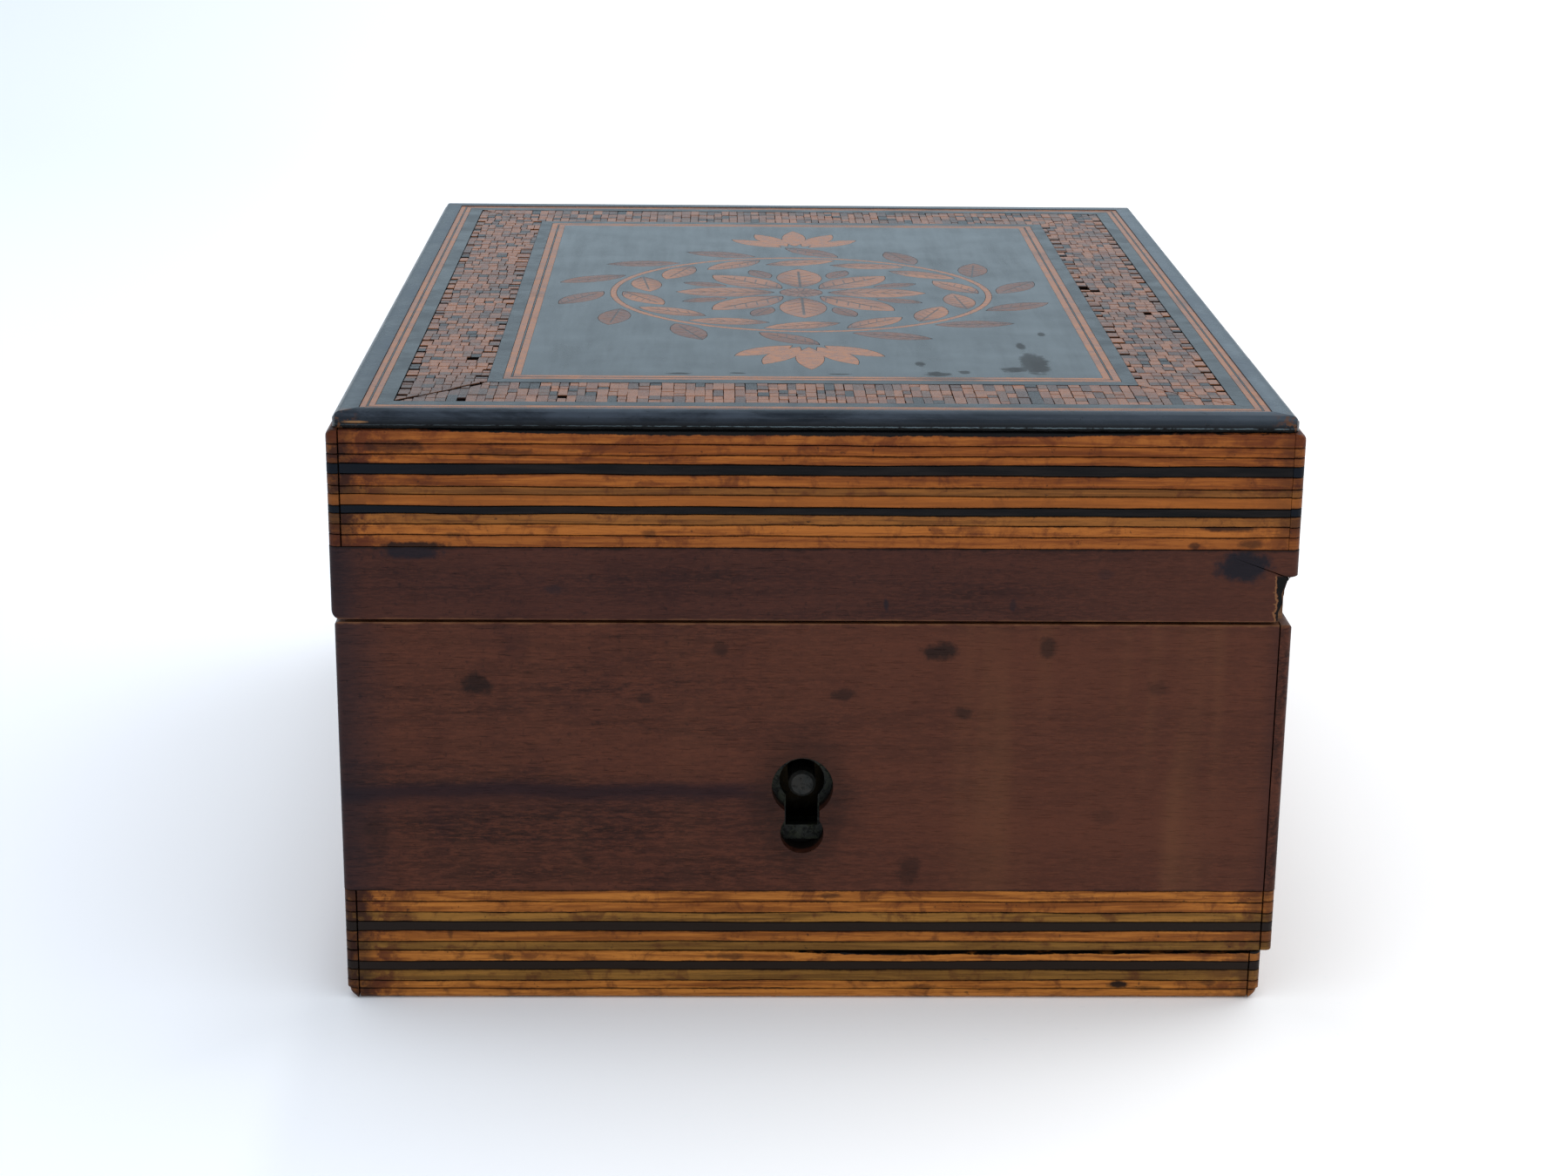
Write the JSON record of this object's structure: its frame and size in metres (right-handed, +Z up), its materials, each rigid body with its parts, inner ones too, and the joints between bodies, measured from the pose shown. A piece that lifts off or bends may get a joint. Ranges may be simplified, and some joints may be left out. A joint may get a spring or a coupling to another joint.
{
  "type": "keepsake box",
  "caption": "Small hinged wooden box with veneered sides, striped wood bands, a mosaic border and inlaid panel on the lid, and a keyhole lock with a sliding bolt.",
  "frame": {"origin": "middle of the underside, on the surface that the box stands on", "axes": "+X to the right across the front, +Y from the front with the keyhole to the hinged back, +Z up"},
  "size_m": [0.1, 0.13, 0.0646],
  "materials": {
    "core_wood": "bare, planed softwood, toned brown",
    "walnut_veneer": "old satin polish over dark red-brown veneer",
    "light_wood": "old satin polish over golden orange-brown wood",
    "olive_wood": "old satin polish over greenish brown wood",
    "black_wood": "ebonised, satin to glossy polish",
    "black_panel": "ebonised, glossy polish",
    "tan_inlay": "pale brown wood under old polish",
    "brown_inlay": "mid brown wood under old polish",
    "brass": "tarnished",
    "steel": "dull, lightly rusted"
  },
  "bodies": {
    "base": {"base_front_wall": "core_wood", "base_back_wall": "core_wood", "base_left_wall": "core_wood", "base_right_wall": "core_wood", "bottom_board": "core_wood", "base_front_veneer": "walnut_veneer", "base_back_veneer": "walnut_veneer", "base_left_veneer": "walnut_veneer", "base_right_veneer": "walnut_veneer", "base_light_strips": "light_wood", "base_olive_strips": "olive_wood", "base_black_strips": "black_wood", "foot_light_strips": "light_wood", "foot_olive_strips": "olive_wood", "foot_black_strips": "black_wood", "base_hinge_leaves": "brass", "hinge_pins": "steel", "base_hinge_screws": "brass", "lock_backplate": "brass", "lock_cap": "brass", "lock_drill_pin": "steel", "lock_guide_studs": "brass", "lock_spring": "steel", "lock_screws": "brass"},
    "lid": {"lid_front_rail": "core_wood", "lid_back_rail": "core_wood", "lid_left_rail": "core_wood", "lid_right_rail": "core_wood", "lid_top_board": "core_wood", "lid_front_veneer": "walnut_veneer", "lid_back_veneer": "walnut_veneer", "lid_left_veneer": "walnut_veneer", "lid_right_veneer": "walnut_veneer", "lid_light_strips": "light_wood", "lid_olive_strips": "olive_wood", "lid_black_strips": "black_wood", "edge_moulding": "black_wood", "outer_string": "tan_inlay", "outer_string_line": "black_wood", "outer_fillet": "black_wood", "mosaic_light_blocks": "tan_inlay", "mosaic_dark_blocks": "black_wood", "inner_fillet": "black_wood", "inner_string": "tan_inlay", "inner_string_line": "black_wood", "panel_ground": "black_panel", "wreath_stem": "tan_inlay", "wreath_light_leaves": "tan_inlay", "wreath_brown_leaves": "brown_inlay", "rosette_petals": "tan_inlay", "rosette_tips": "brown_inlay", "rosette_eye": "brown_inlay", "palmettes": "tan_inlay", "lid_hinge_leaves": "brass", "lid_hinge_screws": "brass", "link_plate": "brass", "link_plate_screws": "brass"},
    "bolt": {"lock_bolt": "brass"}
  },
  "joints": [
    {"name": "lid_hinge", "type": "hinge", "parent": "base", "child": "lid", "pos_m": [0, 0.0636, 0.0427], "axis": [-1, 0, 0], "range_deg": [0, 100]},
    {"name": "bolt_slide", "type": "slide", "parent": "base", "child": "bolt", "axis": [1, 0, 0], "range_m": [0, 0.0032]}
  ]
}
